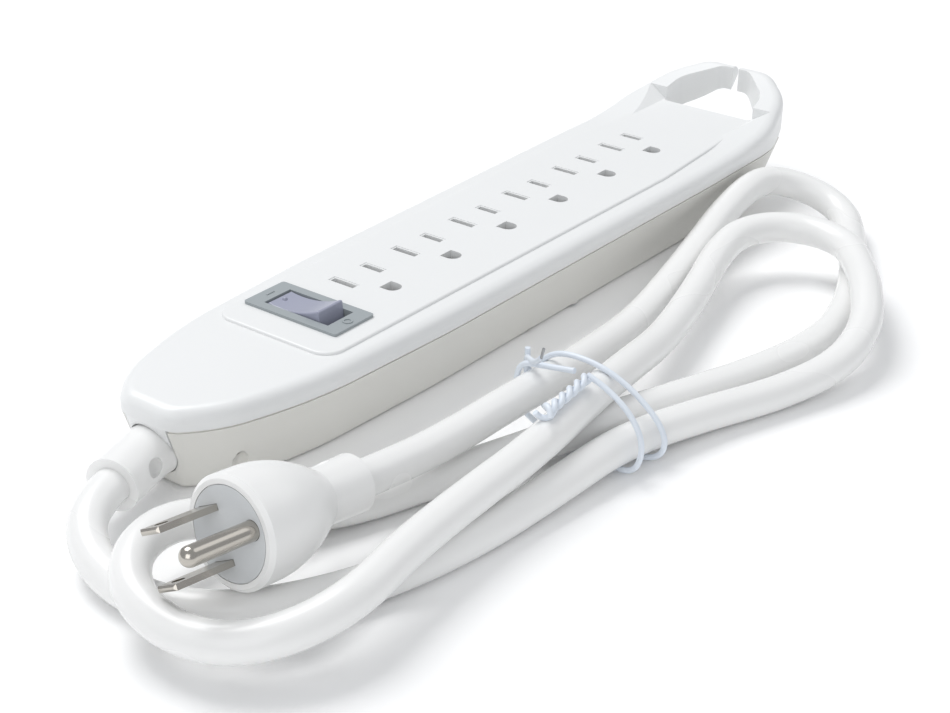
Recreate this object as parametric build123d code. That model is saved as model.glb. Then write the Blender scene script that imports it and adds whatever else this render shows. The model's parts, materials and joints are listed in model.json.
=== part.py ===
"""Six-outlet power strip with a rocker breaker switch, a hanging hook and a tied supply cord.

Frame: X runs along the strip, from the cord end to the hook end. Y runs across it,
with the blade slots on the +Y side. Z is up and the flat underside is Z = 0.
The origin is the middle of the underside, cord and plug left out.
"""
import os
from build123d import *
from math import pi, radians, tan

os.makedirs("parts", exist_ok=True)

# ---- driving dimensions, in mm ----
LENGTH = 296.0          # nose to hook tips
HALF_WIDTH = 30.0       # at the widest point, at the parting line
TOP_Z = 26.4            # outlet panel
SHOULDER_Z = 25.6       # cover round the raised panel
PARTING_Z = 20.0
TIP_Z = 39.0            # top of the hook tips
WALL = 2.2
SIDE_TAPER = 17.0       # lean of the lower shell's side, in degrees
EDGE_ROUND = 3.0        # bottom edge
TOP_ROUND = 3.5
GROOVE = 0.6            # shadow line under the cover
TAIL_X = 122.0          # the upswept tail starts here at the floor

# Plan outline on the +Y side: corner X, corner Y, fillet radius
OUTLINE = [
    (-LENGTH / 2, 8.5, 8), (-138, 17.5, 34), (-112, 25.3, 120), (-60, 28.2, 300),
    (77, HALF_WIDTH, 400), (118, 29.6, 45), (138, 23.6, 22), (LENGTH / 2, 12.5, 11),
]

# Hook opening and switch
HOOK_X = 123.5          # straight edge of the hook opening
HOOK_HALF = 17.6
HOOK_GAP = 2.4          # between the two horn tips
RISE_X = 88.0           # the rims start to rise here
BEZEL_X, BEZEL_Y = -85.0, 1.8
BEZEL_L, BEZEL_W = 32.8, 16.0
BEZEL_T = 0.8
ROCKER_W = 9.6
ROCKER_HALF = 9.4
TRUNNION_Z = 19.4       # axis the rocker turns about
ROCKER_TILT = 9.0       # either side of level
LEVER_TILT = 4.5
LEVER_Z = 10.4          # axis the contact lever tips about
TERMINAL_YS = (-8.0, 0.0, 8.0)

# Outlets: NEMA 5-15R
PITCH = 27.4
FIRST_X = -59.4
OUTLETS = 6
SLOT_Y = 5.8
SLOT_SPACING = 12.7
NEUTRAL_SLOT = 8.2
LINE_SLOT = 6.8
SLOT_T = 2.0
GROUND_DROP = 11.9      # from the blade line to the ground hole's centre
GROUND_W = 5.2

# Cord, strain relief and plug
CORD_D = 9.6
BOOT_R = 7.2
BOOT_Z = 11.6
TIE_D = 1.6
PLUG_R = 13.6
RUNNING = 0.05          # radial clearance of a pin in its hole

SCREWS = [(-112, 11.5), (-112, -11.5), (8.5, 20.0), (8.5, -20.0), (108, 16.5), (108, -16.5)]
SCREW_R = 1.5
SCREW_HEAD_R = 2.9
BOSS_R = 3.6
BOSS_Z = 8.0

# Route of the cord's centre line, from the strip's boot to the plug's boot.
ROUTE = [
    (-163.6, -4.6, 11.3), (-174, -7.482, 11.112), (-182, -15.5, 7.6), (-186, -28, 5.6),
    (-185.5, -42, 4.9), (-178.5, -55, 4.8), (-165, -66, 4.8), (-146, -75, 4.8),
    (-120, -80.8, 4.8), (-92, -83.5, 5.6), (-64, -86, 7.6), (-36, -93, 5.6),
    (-10, -103.5, 4.8), (12, -110.5, 7), (31, -109, 11.5), (47, -100.5, 15),
    (60, -91.5, 15.3), (71, -82.5, 15.4), (74.4, -69.9, 15.6), (69.7, -57.8, 15.7),
    (58.8, -50.7, 15), (44, -51.5, 12.8), (22, -57.5, 10), (-10, -65.6, 9.6),
    (-38, -71, 14), (-64, -75.5, 17), (-92, -78.5, 15.8), (-120, -78.6, 15),
    (-146, -80.5, 15.2), (-166, -84, 15), (-182, -79.5, 12.5), (-192, -69.5, 10.3),
    (-195.5, -56, 10.3), (-193.5, -42.5, 13), (-184.5, -33.5, 15.3), (-171, -30.5, 15),
    (-158, -33, 11), (-144, -40.5, 7), (-127, -49.5, 4.8), (-106, -56.5, 4.8),
    (-84, -65, 5.4), (-58, -76, 7.3), (-32, -83, 5.4), (-2, -93, 4.8),
    (26, -98, 4.8), (52, -93.5, 4.8), (78, -83, 4.8), (98, -71.5, 5.2),
    (111, -63.5, 6.6), (115.4, -52.9, 9.5), (112.4, -41.8, 12.8), (103.3, -35.6, 15.4),
    (90, -35.6, 15.6), (74, -36.6, 13), (56, -39.4, 9.8), (32, -44, 7.4),
    (2, -49.5, 5.6), (-26, -53.5, 8.5), (-52, -58.5, 13.4), (-76, -59.5, 15.6),
    (-98, -59, 15.6), (-117.2, -58.3, 16.53), (-136, -57.4, 19),
]
TIE_ROUTE = [
    (-55, -52.6, 9), (-55, -52.6, 20.8), (-56, -75.5, 23.4), (-57, -95.4, 11.8), (-57.6, -94.4, 0.9),
    (-58.2, -74, 0.9), (-59, -52.4, 7), (-59, -52.4, 22),
]


# ---- outlines ----
def mirrored(corners):
    """Closed anticlockwise ring from the corners of the +Y half, and the fillet radius at each."""
    ring = [(x, -y, r) for x, y, r in corners] + corners[::-1]
    return [(x, y) for x, y, r in ring], [r for x, y, r in ring]


def outline(inset=0.0):
    """Plan outline at the parting line, moved in by an inset."""
    points, radii = mirrored(OUTLINE)
    face = make_face(FilletPolyline(*points, radius=radii, close=True))
    return offset(face, -inset, kind=Kind.INTERSECTION) if inset else face


def block(x, y, z, centre=(0, 0, 0)):
    """Box standing on the height given in its centre."""
    return Pos(*centre) * Box(x, y, z, align=(Align.CENTER, Align.CENTER, Align.MIN))


def rod(radius, length, at, axis="z"):
    """Cylinder that starts at a point and runs along +X, +Y or +Z."""
    turn = {"x": (0, 90, 0), "y": (-90, 0, 0), "z": (0, 0, 0)}[axis]
    shape = Cylinder(radius, length, align=(Align.CENTER, Align.CENTER, Align.MIN))
    return Pos(*at) * Rot(*turn) * shape


def side_prism(edges, half=60):
    """Prism across the strip from closed X-Z edges."""
    return extrude(make_face([Plane.XZ * e for e in edges]), half, both=True)


def tub(inset=0.0):
    """Tapered boat of the lower shell from its floor up to the parting line."""
    boat = extrude(outline(inset), PARTING_Z - inset, taper=SIDE_TAPER)
    boat = Pos(0, 0, PARTING_Z) * mirror(boat, Plane.XY)
    return fillet(boat.edges().filter_by(lambda e: e.center().Z < inset + 0.1), EDGE_ROUND)


def beyond_tail(shift=0.0):
    """Space past the upswept tail, moved towards the nose by a shift."""
    x = TAIL_X - shift
    wire = Polyline((x - 0.6, -1), (x + 12, PARTING_Z + 1), (200, PARTING_Z + 1), (200, -1), close=True)
    return side_prism([wire])


def hook_opening(grow=0.0):
    """Opening between the horns, with the slit between their tips."""
    corners = [
        (HOOK_X - grow, HOOK_HALF + grow, 1.6 + grow),
        (HOOK_X + 9.5, HOOK_HALF - 0.8 + grow, 10 + grow),
        (LENGTH / 2 - 4.5 + grow, 5.5, 6 + grow),
    ]
    points, radii = mirrored(corners)
    opening = extrude(make_face(FilletPolyline(*points, radius=radii, close=True)), 50)
    return opening if grow else opening + block(12, HOOK_GAP, 50, (LENGTH / 2 - 2, 0, 0))


# ---- mouldings ----
def cover_blank():
    """Outer shape of the top cover: flat shoulder, rims that rise into two horns."""
    top, base, tip = SHOULDER_Z, PARTING_Z, LENGTH / 2 + 1
    middle = (RISE_X + tip) / 2
    edges = [
        Line((-160, base), (124, base)),
        ThreePointArc((124, base), (138, 24.2), (tip, TIP_Z - 3.6)),
        Line((tip, TIP_Z - 3.6), (tip, TIP_Z)),
        ThreePointArc((tip, TIP_Z), (middle, top + (TIP_Z - SHOULDER_Z) / 4), (RISE_X, top)),
        Line((RISE_X, top), (-160, top)),
        Line((-160, top), (-160, base)),
    ]
    return extrude(Pos(0, 0, PARTING_Z - 2) * outline(), 30) & side_prism(edges)


def crown_z(x):
    """Height of the rim at X."""
    return SHOULDER_Z + (TIP_Z - SHOULDER_Z) * (max(x - RISE_X, 0) / (LENGTH / 2 + 1 - RISE_X)) ** 2


def raised_panel():
    """Low plateau that carries the switch and the outlets, with a softened edge."""
    points, radii = mirrored([(-102.5, 20.6, 6), (60, 22.6, 60), (114, 19, 4)])
    face = make_face(FilletPolyline(*points, radius=radii, close=True))
    slab = extrude(Pos(0, 0, SHOULDER_Z - 1) * face, TOP_Z - SHOULDER_Z + 1)
    return fillet(slab.edges().filter_by(lambda e: e.center().Z > TOP_Z - 0.01), 0.6)


def panel_channel():
    """Flat outlet panel between the rising rims, with sloping sides."""
    section = Polyline((-17.6, TOP_Z), (17.6, TOP_Z), (33.6, 36.4), (-33.6, 36.4), close=True)
    face = make_face(Plane.YZ * section)
    return extrude(Pos(RISE_X - 6, 0, 0) * face, HOOK_X + 2 - RISE_X + 6)


def socket_cutters(x):
    """Two blade slots and a D-shaped ground hole for the outlet at X."""
    depth, half, base = 6.0, SLOT_SPACING / 2, TOP_Z - 5
    ground_y = SLOT_Y - GROUND_DROP
    return [
        block(SLOT_T + 1.0, NEUTRAL_SLOT + 1.0, 1, (x - half, SLOT_Y, TOP_Z - 0.25)),
        block(SLOT_T + 1.0, LINE_SLOT + 1.0, 1, (x + half, SLOT_Y, TOP_Z - 0.25)),
        block(SLOT_T, NEUTRAL_SLOT, depth, (x - half, SLOT_Y, base)),
        block(SLOT_T, LINE_SLOT, depth, (x + half, SLOT_Y, base)),
        rod(GROUND_W / 2, depth, (x, ground_y - 0.4, base)),
        block(GROUND_W, 2.6, depth, (x, ground_y + 0.9, base)),
    ]


def outlet_xs():
    return [FIRST_X + i * PITCH for i in range(OUTLETS)]


def boot_slot(grow):
    """Slot in the nose that the strain relief drops into before the cover closes it."""
    r = BOOT_R + grow
    start = -LENGTH / 2 - 10
    channel = rod(r, 26, (start, 0, BOOT_Z), "x")
    return [channel, block(26, 2 * r, PARTING_Z + 1 - BOOT_Z, (start + 13, 0, BOOT_Z))]


def top_cover():
    blank = cover_blank()
    rims = [e for e in blank.edges() if e.center().Z > crown_z(e.center().X) - 0.6]
    shell = fillet([e for e in rims if abs(e.center().X - RISE_X) > 0.5], TOP_ROUND)
    inner = extrude(Pos(0, 0, PARTING_Z - 1) * outline(WALL), SHOULDER_Z - WALL - PARTING_Z + 1)
    inner -= block(60, 80, 60, (HOOK_X - WALL + 30, 0, 0))
    shell = shell - panel_channel() + raised_panel()
    cutters = [inner, hook_opening()]
    cutters += [block(BEZEL_W - 2.2, BEZEL_L - 4, 10, (BEZEL_X, BEZEL_Y, TOP_Z - 5))]
    for x in outlet_xs():
        cutters += socket_cutters(x)
    shell -= cutters
    tongue = tub() & block(30, 2 * BOOT_R - 0.4, PARTING_Z - BOOT_Z, (-LENGTH / 2 + 5, 0, BOOT_Z))
    tongue -= [tub(WALL), rod(BOOT_R + 0.3, 40, (-LENGTH / 2 - 10, 0, BOOT_Z), "x")]
    bosses = [rod(BOSS_R, TOP_Z - 1 - BOSS_Z - 0.2, (x, y, BOSS_Z + 0.2)) for x, y in SCREWS]
    shell = shell + [tongue] + bosses
    return shell - [rod(SCREW_R + RUNNING, 10, (x, y, BOSS_Z)) for x, y in SCREWS]


def bottom_shell():
    cavity = tub(WALL) - [hook_opening(WALL), beyond_tail(WALL + 0.3)]
    groove = extrude(Pos(0, 0, PARTING_Z - GROOVE) * (outline(-1) - outline(GROOVE)), GROOVE)
    shell = tub() - [cavity, hook_opening(), beyond_tail(), groove]
    collar = rod(BOOT_R + 4, 2.2, (-137.8, 0, BOOT_Z), "x") & tub(1)
    bosses = [rod(BOSS_R, BOSS_Z - 1, (x, y, 1)) for x, y in SCREWS]
    shell = shell + [collar] + bosses
    cutters = boot_slot(0.25)
    cutters += [rod(SCREW_HEAD_R + 0.2, 3.0, (x, y, -0.6)) for x, y in SCREWS]
    cutters += [rod(SCREW_R + RUNNING, 20, (x, y, -1)) for x, y in SCREWS]
    cone = Cone(2.2, 0.2, 3.5, align=(Align.CENTER, Align.CENTER, Align.MIN))
    cutters += [rod(2.2, 8.5, (-131.0, -15.6, -0.5)), Pos(-131.0, -15.6, 8) * cone]
    cutters += [block(2.8, 3.5, 1.4, (-15, -22.4, 0))]
    return shell - cutters


# ---- switch ----
def switch_bezel():
    plate = block(BEZEL_W, BEZEL_L, BEZEL_T, (BEZEL_X, BEZEL_Y, TOP_Z))
    plate = fillet(plate.edges().filter_by(Axis.Z), 0.8)
    skirt = block(BEZEL_W - 2.6, BEZEL_L - 4.4, 4.4, (BEZEL_X, BEZEL_Y, TOP_Z - 4.4))
    hole = block(ROCKER_W + 0.8, 2 * (ROCKER_HALF + 2), 10, (BEZEL_X, BEZEL_Y, TOP_Z - 5))
    return plate + skirt - hole


def switch_housing():
    """Open box under the bezel that carries the rocker's trunnions and the terminals."""
    top, floor = TOP_Z - 4.5, 6.0
    outer = block(BEZEL_W - 2.6, BEZEL_L - 4.4, top - floor, (BEZEL_X, BEZEL_Y, floor))
    inner = block(ROCKER_W + 0.8, 2 * (ROCKER_HALF + 2), 30, (BEZEL_X, BEZEL_Y, floor + 1.4))
    box = outer - inner
    box -= rod(1.2 + RUNNING, 30, (BEZEL_X - 15, BEZEL_Y, TRUNNION_Z), "x")
    for y in TERMINAL_YS:
        box -= block(5.2, 1.0, 4, (BEZEL_X, BEZEL_Y + y, floor - 1))
    return box


def about_pivot(shape, degrees, z):
    """Turn a shape about the switch's X axis at a height."""
    return Pos(BEZEL_X, BEZEL_Y, z) * Rot(degrees, 0, 0) * shape


def switch_rocker():
    """Rocker at rest, pressed at its +Y end: concave top, stem and two trunnions."""
    h = ROCKER_HALF
    top = TOP_Z + 2.4 - TRUNNION_Z
    edge = [
        Line((-h, top), (-h + 0.5, 0.6)),
        Line((-h + 0.5, 0.6), (-2.4, -1.6)),
        Line((-2.4, -1.6), (2.4, -1.6)),
        Line((2.4, -1.6), (h - 0.5, 0.6)),
        Line((h - 0.5, 0.6), (h, top)),
        ThreePointArc((h, top), (0, top - 1.5), (-h, top)),
    ]
    face = make_face([Plane.YZ * e for e in edge])
    body = extrude(face, ROCKER_W / 2, both=True)
    rims = body.edges().filter_by(lambda e: e.center().Z > top - 2)
    body = fillet(rims, 0.5)
    body += rod(1.2, ROCKER_W + 3.0, (-ROCKER_W / 2 - 1.5, 0, 0), "x")
    body += rod(2.0, 2.4, (0, 0, -4.0)) - rod(1.45, 3.0, (0, 0, -4.2))
    return about_pivot(body, -ROCKER_TILT, TRUNNION_Z)


def switch_plunger():
    """Spring-loaded pin in the rocker's stem that rides on the contact lever."""
    pin = rod(1.3, 2.6, (0, 0, -6.2)) + Pos(0, 0, -6.2) * Sphere(1.3)
    return about_pivot(pin, -ROCKER_TILT, TRUNNION_Z)


def switch_spring():
    """Compression spring behind the plunger."""
    pitch, height, radius, wire = 0.62, 1.6, 0.95, 0.14
    coil = Helix(pitch, height, radius)
    section = Plane(coil @ 0, z_dir=coil % 0) * Circle(wire)
    spring = sweep(section, path=coil)
    return about_pivot(Pos(0, 0, -3.45) * spring, -ROCKER_TILT, TRUNNION_Z)


def contact_lever():
    """See-saw contact that tips on the middle terminal, with a contact tip at its -Y end."""
    bar = block(4.6, 14.4, 1.0, (0, 0, 0.35))
    bar -= rod(0.9 + RUNNING, 6, (-3, 0, 0), "x")
    tip = rod(1.3, 0.9, (0, -6.0, -0.5))
    return about_pivot(bar + tip, LEVER_TILT, LEVER_Z)


def terminal(y, top):
    """Flat tab that comes up through the housing's floor."""
    return block(4.8, 0.8, top - 1.0, (BEZEL_X, BEZEL_Y + y, 1.0 + WALL))


def middle_terminal():
    """Common terminal with the rounded knife edge that the lever rocks on."""
    tab = terminal(0.0, LEVER_Z - 1.6 - 2.0)
    return tab + rod(0.9, 4.6, (BEZEL_X - 2.3, BEZEL_Y, LEVER_Z), "x") + block(
        1.0, 0.8, 3.0, (BEZEL_X, BEZEL_Y, LEVER_Z - 2.8)
    )


def live_terminal():
    """Fixed contact that the lever's tip closes on."""
    tab = terminal(-8.0, 6.4)
    shelf = block(4.8, 3.8, 0.7, (BEZEL_X, BEZEL_Y - 6.5, 8.5))
    return tab + shelf + block(4.8, 0.8, 3, (BEZEL_X, BEZEL_Y - 8.0, 6.0))


def breaker_bimetal():
    """Bent strip that carries the load current and snaps the breaker open when it heats."""
    strip = block(4.0, 0.5, 10.4, (BEZEL_X, BEZEL_Y + 8.0, 4.2))
    return strip + block(4.0, 2.6, 0.5, (BEZEL_X, BEZEL_Y + 6.9, 14.2))


# ---- contacts and wiring ----
def contact_strip(offset, strip_y, leaf_gap, leaf_y, leaf_len, low, high):
    """Pressed strip along the outlets with a pair of spring leaves at each one."""
    xs = outlet_xs()
    length = xs[-1] - xs[0] + 10
    middle = (xs[0] + xs[-1]) / 2 + offset
    strip = block(length, 0.6, 5.0, (middle, strip_y, low))
    for x in xs:
        for side in (-1, 1):
            at = (x + offset + side * (leaf_gap / 2 + 0.3), leaf_y, low)
            strip += block(0.6, leaf_len, high - low, at)
    return strip


def line_bus():
    return contact_strip(SLOT_SPACING / 2, SLOT_Y + 5.0, 1.5, SLOT_Y + 1.0, 8.4, 8.6, 21.5)


def neutral_bus():
    return contact_strip(-SLOT_SPACING / 2, SLOT_Y - 5.2, 1.5, SLOT_Y - 0.9, 8.8, 8.6, 21.5)


def ground_bus():
    y = SLOT_Y - GROUND_DROP
    return contact_strip(0, y - 4.6, 4.8, y - 1.0, 7.4, 6.0, 21.5)


def insulator_tray():
    """Moulded tray that holds the contact strips off the floor, with a wall between the poles."""
    xs = outlet_xs()
    middle, length = (xs[0] + xs[-1]) / 2, xs[-1] - xs[0] + 24
    tray = block(length, 27, 1.2, (middle, 0.5, WALL))
    walls = [block(1.2, 15.0, 6.4, (x, SLOT_Y + 0.2, WALL)) for x in xs]
    feet = [block(1.2, 10.0, 3.8, (x, SLOT_Y - GROUND_DROP - 1.6, WALL)) for x in xs]
    return tray + walls + feet


def wire(points, radius, bend):
    """Insulated conductor along straight runs with rounded corners."""
    path = FilletPolyline(*points, radius=bend)
    start = Plane(path @ 0, z_dir=path % 0)
    return sweep(start * Circle(radius), path=path)


def line_feed_wire():
    core = [(-128.5, -3, BOOT_Z), (-124.5, -3, BOOT_Z)]
    return wire(core + [(-114, -3, 8.6), (-100, -6, 7.8), (-94, -6.8, 4.2), (-87.5, -6.2, 4.2)], 1.25, 2.6)


def line_load_wire():
    points = [(-82.9, 9.8, 4.2), (-73, 10.8, 4.1), (-66, 11.2, 9.6), (-61.6, 10.8, 11), (-58.2, 10.8, 11)]
    return wire(points, 1.25, 2.6)


def neutral_wire():
    core = [(-128.5, 3, BOOT_Z), (-124.5, 3, BOOT_Z)]
    return wire(core + [(-112, 3, 7.6), (-99, 16.4, 4.2), (-77, 17.4, 4.6), (-73.6, 2, 11)], 1.25, 2.6)


def ground_wire():
    core = [(-128.5, 0, 8.2), (-124.5, 0, 8.2)]
    floor = [(-115, -2, 4), (-104, -6, 4), (-98, -15.5, 4), (-80, -16.6, 4)]
    return wire(core + floor + [(-67, -12.4, 7.6)], 1.25, 2.6)


def cord_jacket_end():
    """Stripped end of the cord's jacket inside the strip."""
    return rod(CORD_D / 2 - 0.3, 6.0, (-134.5, 0, BOOT_Z), "x")


def case_screws():
    screws = []
    for x, y in SCREWS:
        head = rod(SCREW_HEAD_R, 1.9, (x, y, 0.5)) - block(4.4, 0.7, 0.9, (x, y, 0.2))
        head -= block(0.7, 4.4, 0.9, (x, y, 0.2))
        screws.append(head + rod(SCREW_R, 13.0, (x, y, 2.3)))
    return Compound(children=screws)


# ---- cord, strain relief and plug ----
def bend_radii(points):
    """Arc radius at each inner point: 0.45 of the shorter run over the tangent of half the turn."""
    radii = []
    for a, b, c in zip(points, points[1:], points[2:]):
        u, v = Vector(*b) - Vector(*a), Vector(*c) - Vector(*b)
        radii.append(0.45 * min(u.length, v.length) / tan(radians(u.get_angle(v)) / 2))
    return radii


def tube_along(points, diameter):
    radii = bend_radii(points)
    path = FilletPolyline(*points, radius=radii)
    start = Plane(path @ 0, z_dir=path % 0)
    tube = sweep(start * Circle(diameter / 2), path=path)
    return tube, path, radii


def power_cord():
    tube, path, radii = tube_along(ROUTE, CORD_D)
    expected = pi * (CORD_D / 2) ** 2 * path.length
    print("cord length", round(path.length, 1), "volume ratio", round(tube.volume / expected, 4))
    print("cord radii", [round(r) for r in radii])
    return tube


def cord_boot():
    """Moulded strain relief: flange behind the nose wall and a sleeve that leans with the cord."""
    bend, end = (-147, 0, BOOT_Z), Vector(*ROUTE[0])
    path = FilletPolyline((-139, 0, BOOT_Z), bend, tuple(end), radius=18)
    sleeve = sweep(Plane(path @ 0, z_dir=path % 0) * Circle(BOOT_R), path=path)
    flange = rod(BOOT_R + 1.4, 2.0, (-140.2, 0, BOOT_Z), "x")
    neck = rod(BOOT_R, 6.0, (-140.5, 0, BOOT_Z), "x")
    dimple = Pos(-153.5, -8.2, BOOT_Z + 1.0) * Rot(0, 0, 14) * scale(Sphere(1), by=(3.4, 1.7, 2.6))
    return sleeve + neck + flange - dimple


PLUG_FACE = Vector(-175.6, -55.5, 24.2)
PLUG_BACK = Vector(*ROUTE[-1])


def plug_frame():
    """Plug's own plane: Z out of its face along the blades, Y towards the ground pin."""
    out = (PLUG_FACE - PLUG_BACK).normalized()
    side = Vector(-0.035, -0.878, 0.478)
    across = side.cross(out).normalized()
    return Plane(PLUG_FACE, x_dir=across, z_dir=out)


def plug_body():
    """Moulded grip: a drum behind the face, a shoulder and the sleeve of its strain relief."""
    length = (PLUG_FACE - PLUG_BACK).length
    edge = [
        Line((0, 0), (PLUG_R - 1.0, 0)),
        Line((PLUG_R - 1.0, 0), (PLUG_R, -1.0)),
        Line((PLUG_R, -1.0), (PLUG_R, -7.0)),
        Bezier((PLUG_R, -7.0), (PLUG_R, -17.0), (8.6, -24.0), (7.0, -27.0)),
        Line((7.0, -27.0), (7.4, -length + 0.8)),
        Line((7.4, -length + 0.8), (6.6, -length)),
        Line((6.6, -length), (0, -length)),
        Line((0, -length), (0, 0)),
    ]
    body = revolve(make_face([Plane.XZ * e for e in edge]), Axis.Z)
    chord = block(40, 6, 60, (0, -PLUG_R + 2.2 - 3, -60))
    drum_flat = chord & block(40, 40, 14, (0, 0, -14))
    body -= drum_flat
    body -= rod(PLUG_R - 2.2, 1.0, (0, 0, -0.6))
    for x in (-1, 1):
        body -= Pos(x * 7.9, 0, -31.0) * scale(Sphere(1), by=(1.6, 2.4, 3.4))
    for x in (-1, 1):
        body -= block(1.6, 6.4, 15, (x * SLOT_SPACING / 2, BLADE_Y, -14))
    body -= rod(2.45, 15, (0, BLADE_Y + GROUND_DROP, -14))
    return plug_frame() * body


BLADE_Y = -4.2


def plug_face_insert():
    """Inner bridge that holds the blades, seen as the disc inside the face's rim."""
    disc = rod(PLUG_R - 2.4, 0.5, (0, 0, -0.55))
    disc -= block(40, 6, 4, (0, -PLUG_R + 1.7 - 3, -2))
    for x in (-1, 1):
        disc -= block(1.6, 6.4, 4, (x * SLOT_SPACING / 2, BLADE_Y, -2))
    disc -= rod(2.45, 4, (0, BLADE_Y + GROUND_DROP, -2))
    return plug_frame() * disc


def plug_blade(side):
    """Flat blade with a bevelled tip and the small hole near it."""
    blade = block(1.5, 6.3, 30.0, (0, 0, -13.0))
    tips = blade.edges().filter_by(lambda e: e.center().Z > 16.9)
    blade = chamfer(tips, 0.5)
    blade -= rod(1.55, 4, (-2, 0, 13.2), "x")
    return plug_frame() * Pos(side * SLOT_SPACING / 2, BLADE_Y, 0) * blade


def plug_ground_pin():
    pin = rod(2.38, 33.0 - 2.38, (0, 0, -13.0)) + Pos(0, 0, 20.0 - 2.38) * Sphere(2.38)
    return plug_frame() * Pos(0, BLADE_Y + GROUND_DROP, 0) * pin


def twist_tie():
    path = FilletPolyline(*TIE_ROUTE, radius=2.2)
    start = Plane(path @ 0, z_dir=path % 0)
    return sweep(start * Circle(TIE_D / 2), path=path)


NODES = {
    "top_cover": top_cover,
    "bottom_shell": bottom_shell,
    "switch_bezel": switch_bezel,
    "switch_housing": switch_housing,
    "switch_rocker": switch_rocker,
    "switch_plunger": switch_plunger,
    "switch_spring": switch_spring,
    "contact_lever": contact_lever,
    "middle_terminal": middle_terminal,
    "live_terminal": live_terminal,
    "breaker_bimetal": breaker_bimetal,
    "line_bus": line_bus,
    "neutral_bus": neutral_bus,
    "ground_bus": ground_bus,
    "insulator_tray": insulator_tray,
    "line_feed_wire": line_feed_wire,
    "line_load_wire": line_load_wire,
    "neutral_wire": neutral_wire,
    "ground_wire": ground_wire,
    "cord_jacket_end": cord_jacket_end,
    "case_screws": case_screws,
    "cord_boot": cord_boot,
    "power_cord": power_cord,
    "plug_body": plug_body,
    "plug_face_insert": plug_face_insert,
    "plug_line_blade": lambda: plug_blade(1),
    "plug_neutral_blade": lambda: plug_blade(-1),
    "plug_ground_pin": plug_ground_pin,
    "twist_tie": twist_tie,
}

for name, make in NODES.items():
    export_step(make(), f"parts/{name}.step")
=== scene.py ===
"""Visual model of a six-outlet power strip with a rocker breaker, a hook end and a tied cord."""
import json
from math import cos, pi, radians, sin

import bmesh
import bpy
from mathutils import Matrix, Vector

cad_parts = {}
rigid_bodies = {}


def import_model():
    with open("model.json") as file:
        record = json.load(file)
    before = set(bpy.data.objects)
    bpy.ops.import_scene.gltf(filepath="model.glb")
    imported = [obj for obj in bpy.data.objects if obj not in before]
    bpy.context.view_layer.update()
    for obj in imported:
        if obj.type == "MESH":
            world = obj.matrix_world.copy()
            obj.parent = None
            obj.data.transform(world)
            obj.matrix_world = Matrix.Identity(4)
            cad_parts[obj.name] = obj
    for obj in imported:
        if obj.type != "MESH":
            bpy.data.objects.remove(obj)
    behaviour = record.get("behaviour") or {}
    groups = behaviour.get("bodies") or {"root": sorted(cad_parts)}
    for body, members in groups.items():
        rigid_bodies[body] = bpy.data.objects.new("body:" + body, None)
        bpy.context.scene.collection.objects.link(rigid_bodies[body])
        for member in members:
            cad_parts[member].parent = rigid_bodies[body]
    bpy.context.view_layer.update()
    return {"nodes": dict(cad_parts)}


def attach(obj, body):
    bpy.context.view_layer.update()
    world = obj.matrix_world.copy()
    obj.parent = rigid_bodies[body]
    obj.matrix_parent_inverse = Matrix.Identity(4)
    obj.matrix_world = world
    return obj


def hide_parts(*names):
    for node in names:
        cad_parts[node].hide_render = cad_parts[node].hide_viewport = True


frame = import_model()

bl_info = {
    "name": "Power Strip Visual Model",
    "version": (1, 0, 0),
    "blender": (4, 5, 0),
    "location": "View3D > Sidebar > Power Strip",
    "description": "Builds the pieces, materials and stage of a power strip on its CAD frame",
    "category": "Object",
}

MM = 0.001

# Heights and places on the strip, in mm.
TOP_Z = 26.4
BEZEL = (-85.0, 1.8)

# The mottle is a slow change of tone; the grain's relief is a tenth of a millimetre at most.
MOTTLE_MM = 60
RELIEF_M = 0.0001
SKIN_DEPTH_M = 0.003

# Centre line of the cord, the same route as the CAD tube, in mm.
ROUTE = [
    (-163.6, -4.6, 11.3), (-174, -7.482, 11.112), (-182, -15.5, 7.6), (-186, -28, 5.6),
    (-185.5, -42, 4.9), (-178.5, -55, 4.8), (-165, -66, 4.8), (-146, -75, 4.8),
    (-120, -80.8, 4.8), (-92, -83.5, 5.6), (-64, -86, 7.6), (-36, -93, 5.6),
    (-10, -103.5, 4.8), (12, -110.5, 7), (31, -109, 11.5), (47, -100.5, 15),
    (60, -91.5, 15.3), (71, -82.5, 15.4), (74.4, -69.9, 15.6), (69.7, -57.8, 15.7),
    (58.8, -50.7, 15), (44, -51.5, 12.8), (22, -57.5, 10), (-10, -65.6, 9.6),
    (-38, -71, 14), (-64, -75.5, 17), (-92, -78.5, 15.8), (-120, -78.6, 15),
    (-146, -80.5, 15.2), (-166, -84, 15), (-182, -79.5, 12.5), (-192, -69.5, 10.3),
    (-195.5, -56, 10.3), (-193.5, -42.5, 13), (-184.5, -33.5, 15.3), (-171, -30.5, 15),
    (-158, -33, 11), (-144, -40.5, 7), (-127, -49.5, 4.8), (-106, -56.5, 4.8),
    (-84, -65, 5.4), (-58, -76, 7.3), (-32, -83, 5.4), (-2, -93, 4.8),
    (26, -98, 4.8), (52, -93.5, 4.8), (78, -83, 4.8), (98, -71.5, 5.2),
    (111, -63.5, 6.6), (115.4, -52.9, 9.5), (112.4, -41.8, 12.8), (103.3, -35.6, 15.4),
    (90, -35.6, 15.6), (74, -36.6, 13), (56, -39.4, 9.8), (32, -44, 7.4),
    (2, -49.5, 5.6), (-26, -53.5, 8.5), (-52, -58.5, 13.4), (-76, -59.5, 15.6),
    (-98, -59, 15.6), (-117.2, -58.3, 16.53), (-136, -57.4, 19),
]

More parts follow.
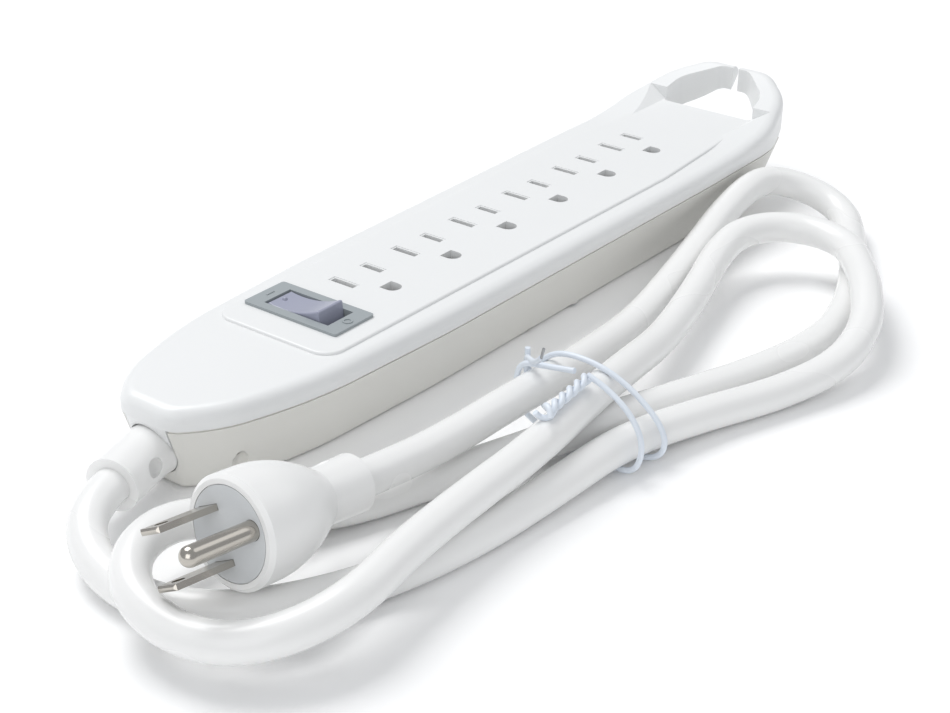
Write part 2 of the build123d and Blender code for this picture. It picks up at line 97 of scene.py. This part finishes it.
# Twist tie: two loops round the bundle, a loose end with a bare tip, and a twisted pair, in mm.
TIE = [
    (-55, -52.6, 9), (-55, -52.6, 20.8), (-56, -75.5, 23.4), (-57, -95.4, 11.8), (-57.6, -94.4, 0.9),
    (-58.2, -74, 0.9), (-59, -52.4, 7), (-59, -52.4, 22),
]

TIE_SECOND = [
    (-66, -76, 24.6), (-66, -85, 22), (-67, -94.5, 13), (-67, -93, 2), (-66.5, -84, 1), (-66, -72, 1),
    (-65, -53.5, 7), (-64.5, -52.6, 14), (-64.5, -54, 20.6), (-65.5, -62, 22.4), (-66, -72, 24.4),
]
TIE_LOOSE = [(-59, -52.4, 14), (-60, -52.6, 20), (-64, -56.5, 22), (-68, -61.5, 24), (-69.6, -64, 27)]
TIE_TIP = [(-69.6, -64, 27), (-69.7, -64.4, 28.6), (-69.8, -64.8, 30)]
TWIST_START = (-66, -76, 23.9)
TWIST_RUN = (-22, -1.5, -0.9)
TWIST_RADIUS = 0.9
TWIST_TURNS = 3
TWIST_STEPS = 32
TWIST_OPENS_AT = 0.8
TWIST_OPENING = 1.6

# Light and camera, in metres, watts and degrees.
FLOOR_HALF = 6.0
SKY_COLOUR = (0.95, 0.97, 1.0, 1.0)
SKY_STRENGTH = 0.5
LAMPS = [
    ("key", (0.1, 0.75, 1.35), 0.9, 15.0),
    ("fill", (-1.2, -0.5, 0.7), 1.0, 4.5),
    ("rim", (1.0, -0.5, 1.0), 0.8, 1.5),
]
AZIMUTH, ELEVATION, ROLL = -53.702, 27.498, 1.156
CAMERA_PLACE = (-0.4037, -0.2883, 0.2363)
LENS_MM = 67.0
SENSOR_MM = 36.0


# ---- helpers ----
def shade_values(value):
    """Linear RGBA of an sRGB hex colour."""
    parts = [int(value[i:i + 2], 16) / 255 for i in (1, 3, 5)]
    return [p / 12.92 if p <= 0.04045 else ((p + 0.055) / 1.055) ** 2.4 for p in parts] + [1.0]


def add_node(tree, kind, at, links=(), **values):
    """One shader node, with its inputs set by name and its links made."""
    node = tree.nodes.new(kind)
    node.location = at
    for key, value in values.items():
        name = key.replace("_", " ")
        if name in node.inputs:
            node.inputs[name].default_value = value
        else:
            setattr(node, key, value)
    for source, socket in links:
        tree.links.new(source, node.inputs[socket])
    return node


def surface(name, colour, rough, metal=0.0, grain_mm=0.6, bump=0.05, spread=0.03, soft=0.0):
    """Principled material with a fine grain that varies its colour, roughness and height."""
    mat = bpy.data.materials.new(name)
    mat.use_nodes = True
    tree = mat.node_tree
    tree.nodes.clear()
    place = add_node(tree, "ShaderNodeTexCoord", (-1100, 0))
    vector = [(place.outputs["Object"], "Vector")]
    fine = add_node(tree, "ShaderNodeTexNoise", (-880, 100), vector, Scale=1 / (grain_mm * MM), Detail=3.0)
    wide = add_node(tree, "ShaderNodeTexNoise", (-880, -200), vector, Scale=1 / (MOTTLE_MM * MM), Detail=2.0)
    base = shade_values(colour)
    dark = [c * (1 - spread) for c in base[:3]] + [1.0]
    tint = add_node(tree, "ShaderNodeMix", (-640, 160), data_type="RGBA")
    tint.inputs[6].default_value = dark
    tint.inputs[7].default_value = base
    tree.links.new(wide.outputs["Fac"], tint.inputs[0])
    gloss = add_node(
        tree, "ShaderNodeMapRange", (-640, -120), [(wide.outputs["Fac"], "Value")],
        To_Min=rough * 0.9, To_Max=rough * 1.1,
    )
    lift = add_node(
        tree, "ShaderNodeBump", (-420, -240), [(fine.outputs["Fac"], "Height")],
        Strength=bump, Distance=RELIEF_M,
    )
    shader = add_node(
        tree, "ShaderNodeBsdfPrincipled", (-180, 0),
        [(tint.outputs[2], "Base Color"), (gloss.outputs["Result"], "Roughness"),
         (lift.outputs["Normal"], "Normal")],
        Metallic=metal,
    )
    if soft:
        shader.inputs["Subsurface Weight"].default_value = soft
        shader.inputs["Subsurface Radius"].default_value = [SKIN_DEPTH_M] * 3
        shader.inputs["Subsurface Scale"].default_value = 0.6
    add_node(tree, "ShaderNodeOutputMaterial", (120, 0), [(shader.outputs["BSDF"], "Surface")])
    return mat


def finish_mesh(name, bm, material, body="strip", smooth=35.0):
    """Turns a bmesh, in mm, into a piece in metres that rides on a body."""
    bmesh.ops.remove_doubles(bm, verts=bm.verts, dist=0.001)
    bmesh.ops.recalc_face_normals(bm, faces=bm.faces)
    bmesh.ops.scale(bm, verts=bm.verts, vec=(MM, MM, MM))
    for face in bm.faces:
        face.smooth = True
    for edge in bm.edges:
        if len(edge.link_faces) == 2 and edge.calc_face_angle(0.0) > radians(smooth):
            edge.smooth = False
    mesh = bpy.data.meshes.new(name)
    bm.to_mesh(mesh)
    bm.free()
    piece = bpy.data.objects.new(name, mesh)
    bpy.context.scene.collection.objects.link(piece)
    mesh.materials.append(material)
    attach(piece, body)
    return piece


def ring_loops(bm, loops, closed_ends=True):
    """Joins loops of points, each of the same count, into a skin."""
    rows = [[bm.verts.new(p) for p in loop] for loop in loops]
    for low, high in zip(rows, rows[1:]):
        for i in range(len(low)):
            j = (i + 1) % len(low)
            bm.faces.new((low[i], low[j], high[j], high[i]))
    if closed_ends:
        bm.faces.new(rows[0][::-1])
        bm.faces.new(rows[-1])


def turned(bm, profile, matrix, steps, closed_ends=True):
    """Solid of revolution about local Z from (radius, height) points."""
    loops = []
    for radius, height in profile:
        angles = [2 * pi * i / steps for i in range(steps)]
        loops.append([matrix @ Vector((radius * cos(a), radius * sin(a), height)) for a in angles])
    ring_loops(bm, loops, closed_ends)


def rounded_box(bm, size, centre, bevel, segments=3):
    """Box with bevelled edges, sizes in mm."""
    made = bmesh.ops.create_cube(bm, size=1.0)["verts"]
    bmesh.ops.scale(bm, verts=made, vec=size)
    bmesh.ops.translate(bm, verts=made, vec=centre)
    edges = list({e for v in made for e in v.link_edges})
    bmesh.ops.bevel(
        bm, geom=edges, offset=bevel, offset_type="OFFSET", segments=segments, profile=0.5,
        affect="EDGES", material=-1, clamp_overlap=True,
    )


def smooth_curve(name, points, diameter, material, steps, round_steps, body="strip"):
    """Round piece along one open NURBS spline through control points in mm."""
    curve = bpy.data.curves.new(name, "CURVE")
    curve.dimensions = "3D"
    spline = curve.splines.new("NURBS")
    spline.points.add(len(points) - 1)
    for point, place in zip(spline.points, points):
        point.co = (place[0] * MM, place[1] * MM, place[2] * MM, 1.0)
    spline.order_u = 3
    spline.use_endpoint_u = True
    spline.resolution_u = steps
    curve.bevel_depth = diameter / 2
    curve.bevel_resolution = round_steps
    curve.use_fill_caps = True
    curve.materials.append(bpy.data.materials[material])
    piece = bpy.data.objects.new(name, curve)
    bpy.context.scene.collection.objects.link(piece)
    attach(piece, body)
    return piece


def paint(node, material):
    """Gives a CAD node its material."""
    piece = frame["nodes"][node]
    piece.data.materials.clear()
    piece.data.materials.append(material)


# ---- properties ----
class StripColours(bpy.types.PropertyGroup):
    """Colours of the plastics and metals."""

    cover: bpy.props.StringProperty(name="Cover", description="Cover ABS, sRGB hex", default="#ECEDED")
    # The lower shell's colour is a little darker and warmer than the cover's: painted shade of its
    # down-facing near side.
    shell: bpy.props.StringProperty(name="Lower shell", description="Lower shell ABS", default="#E4E3DE")
    bezel: bpy.props.StringProperty(name="Bezel", description="Switch bezel ABS", default="#9EA5A8")
    rocker: bpy.props.StringProperty(name="Rocker", description="Rocker polycarbonate", default="#A0A3B5")
    cord: bpy.props.StringProperty(name="Cord", description="Soft PVC of cord and plug", default="#F2F2F1")
    metal: bpy.props.StringProperty(name="Blades", description="Nickel-plated brass", default="#C9C4BC")


class StripSizes(bpy.types.PropertyGroup):
    """Sizes that a user may change."""

    cord_diameter: bpy.props.FloatProperty(
        name="Cord diameter", description="Outside diameter of the cord", default=0.0096, unit="LENGTH"
    )
    tie_diameter: bpy.props.FloatProperty(
        name="Tie diameter", description="Coated wire of the twist tie", default=0.0016, unit="LENGTH"
    )
    grain: bpy.props.FloatProperty(
        name="Grain", description="Size of the moulded texture in mm", default=0.5, min=0.05, max=5.0
    )


def colours():
    return bpy.context.scene.strip_colours


def sizes():
    return bpy.context.scene.strip_sizes


# ---- operators ----
class STRIP_OT_materials(bpy.types.Operator):
    """Give every CAD piece its material"""

    bl_idname = "strip.materials"
    bl_label = "Materials"

    def execute(self, context):
        tones, grain = colours(), sizes().grain
        # Moulded ABS: a soft satin sheen. The grain is drawn coarser than the real one, to show.
        surface("ABS cover", tones.cover, 0.33, grain_mm=grain, bump=0.05, soft=0.1)
        # The lower shell's darker, warmer tone is painted shade of its down-facing near side.
        surface("ABS lower shell", tones.shell, 0.5, grain_mm=grain, bump=0.12, soft=0.1)
        surface("ABS bezel", tones.bezel, 0.4, grain_mm=grain, bump=0.05)
        surface("Polycarbonate rocker", tones.rocker, 0.28, grain_mm=grain, bump=0.03)
        # Plasticised PVC: smoother and glossier than the case, with a slight waxy depth.
        surface("PVC cord", tones.cord, 0.27, grain_mm=1.2, bump=0.05, soft=0.15)
        # Inner plastics, dull and plain.
        surface("PBT housing", "#33363A", 0.5, grain_mm=grain)
        surface("Acetal plunger", "#E8E4D8", 0.4)
        surface("Nylon insert", "#D2D5D7", 0.5, grain_mm=grain, bump=0.1)
        # Metals: plated and stamped parts, bright with a faint uneven tone.
        surface("Nickel-plated brass", tones.metal, 0.2, metal=1.0, grain_mm=0.3, bump=0.03, spread=0.2)
        surface("Stamped brass", "#C8A35C", 0.3, metal=1.0, grain_mm=0.3)
        surface("Spring steel", "#B8BABD", 0.3, metal=1.0)
        surface("Zinc-plated steel", "#9DA0A3", 0.35, metal=1.0, grain_mm=0.3)
        surface("Bimetal strip", "#A89C8C", 0.35, metal=1.0)
        # Wire insulation and the tie's coating.
        surface("PVC black", "#1C1C1E", 0.4)
        surface("PVC white", "#EDEDEB", 0.4)
        surface("PVC green", "#2F7A45", 0.4)
        surface("Coated tie wire", "#E3EAF3", 0.3, grain_mm=0.8, bump=0.1)
        finishes = {
            "ABS cover": ["top_cover"],
            "ABS lower shell": ["bottom_shell"],
            "ABS bezel": ["switch_bezel"],
            "Polycarbonate rocker": ["switch_rocker"],
            "PVC cord": ["cord_boot", "power_cord", "plug_body", "cord_jacket_end"],
            "PBT housing": ["switch_housing", "insulator_tray"],
            "Acetal plunger": ["switch_plunger"],
            "Nylon insert": ["plug_face_insert"],
            "Nickel-plated brass": ["plug_line_blade", "plug_neutral_blade", "plug_ground_pin"],
            "Stamped brass": [
                "contact_lever", "middle_terminal", "live_terminal", "line_bus", "neutral_bus", "ground_bus",
            ],
            "Spring steel": ["switch_spring"],
            "Zinc-plated steel": ["case_screws"],
            "Bimetal strip": ["breaker_bimetal"],
            "PVC black": ["line_feed_wire", "line_load_wire"],
            "PVC white": ["neutral_wire"],
            "PVC green": ["ground_wire"],
            "Coated tie wire": ["twist_tie"],
        }
        for material, nodes in finishes.items():
            for node in nodes:
                paint(node, bpy.data.materials[material])
        return {"FINISHED"}


class STRIP_OT_cord(bpy.types.Operator):
    """Build the supply cord as one curve on its route"""

    bl_idname = "strip.cord"
    bl_label = "Supply cord"

    def execute(self, context):
        diameter = sizes().cord_diameter
        piece = smooth_curve("cord_run", ROUTE, diameter, "PVC cord", 10, 8)
        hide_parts("power_cord")
        going = ["cord_boot", "plug_body", "plug_face_insert", "plug_line_blade"]
        going += ["plug_neutral_blade", "plug_ground_pin"]
        along = [frame["nodes"][n] for n in going]
        along += [other for other in context.scene.objects if other.name.startswith("tie_")]
        return {"FINISHED"}


def tie_wire(name, points, diameter, material="Coated tie wire"):
    """One length of the tie's wire."""
    return smooth_curve(name, points, diameter, material, 8, 4)


class STRIP_OT_tie(bpy.types.Operator):
    """Build the twist tie round the cord bundle"""

    bl_idname = "strip.tie"
    bl_label = "Twist tie"

    def execute(self, context):
        diameter = sizes().tie_diameter
        loop = tie_wire("tie_loop", TIE, diameter)
        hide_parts("twist_tie")
        tie_wire("tie_second_loop", TIE_SECOND, diameter)
        tie_wire("tie_loose_end", TIE_LOOSE, diameter)
        tie_wire("tie_bare_tip", TIE_TIP, diameter * 0.5, "Spring steel")
        for name, phase in (("tie_twist_a", 0.0), ("tie_twist_b", pi)):
            strand = []
            for i in range(TWIST_STEPS + 1):
                along, turn = i / TWIST_STEPS, 2 * pi * TWIST_TURNS * i / TWIST_STEPS + phase
                opened = max(along - TWIST_OPENS_AT, 0) / (1 - TWIST_OPENS_AT)
                spread = TWIST_RADIUS * (1 + TWIST_OPENING * opened)
                x, y, z = (start + run * along for start, run in zip(TWIST_START, TWIST_RUN))
                strand.append((x, y + spread * cos(turn), z + spread * sin(turn)))
            tie_wire(name, strand, diameter)
        return {"FINISHED"}


class STRIP_OT_switch(bpy.types.Operator):
    """Add the generic raised marks on the switch bezel and the rocker's dot"""

    bl_idname = "strip.switch"
    bl_label = "Switch marks"

    def execute(self, context):
        bezel = bpy.data.materials["ABS bezel"]
        bm = bmesh.new()
        rounded_box(bm, (3.0, 0.5, 0.3), (BEZEL[0], BEZEL[1] + 13.9, TOP_Z + 0.9), 0.1, 2)
        profile = [(1.45, -0.1), (1.45, 0.25), (0.95, 0.25), (0.95, -0.1)]
        base = Matrix.Translation((BEZEL[0], BEZEL[1] - 13.8, TOP_Z + 0.8))
        turned(bm, profile + profile[:1], base, 32, closed_ends=False)
        finish_mesh("bezel_marks", bm, bezel)
        bm = bmesh.new()
        lean = Matrix.Rotation(radians(-6), 4, "X")
        spot = Matrix.Translation((BEZEL[0], BEZEL[1] + 8.6, TOP_Z + 0.55)) @ lean
        turned(bm, [(0.1, 0.62), (0.5, 0.5), (0.75, 0.1), (0.8, -0.4), (0.1, -0.4)], spot, 24)
        rocker = bpy.data.materials["Polycarbonate rocker"]
        finish_mesh("rocker_dot", bm, rocker, "rocker")
        return {"FINISHED"}


class STRIP_OT_stage(bpy.types.Operator):
    """Set the floor, the studio light and the camera"""

    bl_idname = "strip.stage"
    bl_label = "Stage"

    def execute(self, context):
        scene = context.scene
        bm = bmesh.new()
        bmesh.ops.create_grid(bm, x_segments=1, y_segments=1, size=FLOOR_HALF)
        mesh = bpy.data.meshes.new("floor")
        bm.to_mesh(mesh)
        bm.free()
        floor = bpy.data.objects.new("floor", mesh)
        scene.collection.objects.link(floor)
        mesh.materials.append(surface("Studio paper", "#FFFFFF", 0.9, grain_mm=4.0, bump=0.0, spread=0.0))
        world = bpy.data.worlds.new("studio")
        scene.world = world
        world.use_nodes = True
        sky = world.node_tree.nodes["Background"]
        sky.inputs["Color"].default_value = SKY_COLOUR
        sky.inputs["Strength"].default_value = SKY_STRENGTH
        for name, place, size, power in LAMPS:
            data = bpy.data.lights.new(name, "AREA")
            data.size = size
            data.energy = power
            lamp = bpy.data.objects.new(name, data)
            lamp.location = place
            lamp.rotation_euler = (-Vector(place)).to_track_quat("-Z", "Y").to_euler()
            scene.collection.objects.link(lamp)
        az, el, roll = radians(AZIMUTH), radians(ELEVATION), radians(ROLL)
        back = Vector((sin(az) * cos(el), -cos(az) * cos(el), sin(el)))
        right = Vector((cos(az), sin(az), 0.0))
        up = back.cross(right)
        side = right * cos(roll) + up * sin(roll)
        lift = up * cos(roll) - right * sin(roll)
        turn = Matrix((side, lift, back)).transposed().to_4x4()
        data = bpy.data.cameras.new("camera")
        data.sensor_width = SENSOR_MM
        data.lens = LENS_MM
        camera = bpy.data.objects.new("camera", data)
        camera.matrix_world = Matrix.Translation(CAMERA_PLACE) @ turn
        scene.collection.objects.link(camera)
        scene.camera = camera
        scene.render.resolution_x = 950
        scene.render.resolution_y = 713
        scene.view_settings.view_transform = "Standard"
        return {"FINISHED"}


class STRIP_PT_panel(bpy.types.Panel):
    """Lists the steps in the sidebar"""

    bl_idname = "STRIP_PT_panel"
    bl_label = "Power Strip"
    bl_space_type = "VIEW_3D"
    bl_region_type = "UI"
    bl_category = "Power Strip"

    def draw(self, context):
        for step in STEPS:
            self.layout.operator(step.bl_idname)


STEPS = (STRIP_OT_materials, STRIP_OT_tie, STRIP_OT_cord, STRIP_OT_switch, STRIP_OT_stage)
CLASSES = (StripColours, StripSizes) + STEPS + (STRIP_PT_panel,)


def register():
    for cls in CLASSES:
        bpy.utils.register_class(cls)
    bpy.types.Scene.strip_colours = bpy.props.PointerProperty(type=StripColours)
    bpy.types.Scene.strip_sizes = bpy.props.PointerProperty(type=StripSizes)


def unregister():
    del bpy.types.Scene.strip_sizes
    del bpy.types.Scene.strip_colours
    for cls in reversed(CLASSES):
        bpy.utils.unregister_class(cls)


def main():
    register()
    bpy.ops.strip.materials()
    bpy.ops.strip.tie()
    bpy.ops.strip.cord()
    bpy.ops.strip.switch()
    bpy.ops.strip.stage()


if __name__ == "__main__":
    main()
